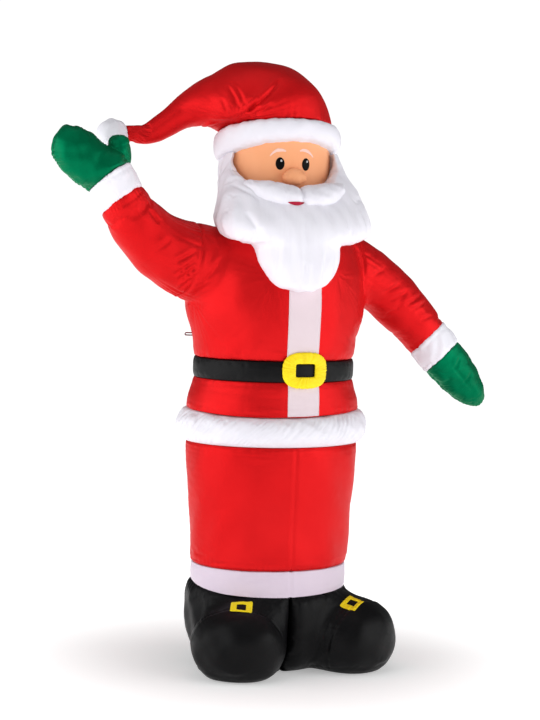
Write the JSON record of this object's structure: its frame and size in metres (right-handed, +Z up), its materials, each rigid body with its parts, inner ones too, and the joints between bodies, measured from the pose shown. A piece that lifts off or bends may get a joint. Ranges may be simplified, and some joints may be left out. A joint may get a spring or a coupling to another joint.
{
  "type": "inflatable santa",
  "caption": "Tall air-filled standing santa in sewn nylon, waving a raised mitten, for a garden or porch.",
  "frame": {"origin": "on the ground under the middle of the figure's box", "axes": "+Z up; the figure faces -Y, its raised right hand is at -X and its lowered left hand at +X"},
  "size_m": [1.9048, 0.7244, 2.3773],
  "materials": {
    "red": "satin nylon",
    "white": "satin nylon",
    "black": "satin nylon",
    "green": "satin nylon",
    "yellow": "satin nylon",
    "skin": "satin nylon",
    "dark_red": "woven webbing"
  },
  "bodies": {
    "root": {"boot_right": "black", "boot_left": "black", "boot_buckle_right": "yellow", "boot_buckle_left": "yellow", "trouser_cuff": "white", "trousers": "red", "coat_hem": "white", "coat_skirt": "red", "belt": "black", "belt_buckle": "yellow", "coat_body": "red", "coat_stripe_upper": "white", "coat_stripe_lower": "white", "sleeve_right": "red", "cuff_right": "white", "mitten_right": "green", "sleeve_left": "red", "cuff_left": "white", "mitten_left": "green", "head": "skin", "nose": "skin", "beard": "white", "moustache": "white", "hat_trim": "white", "hat": "red", "hat_bag": "white", "tether_loop_right": "dark_red", "tether_loop_left": "dark_red"}
  },
  "joints": []
}
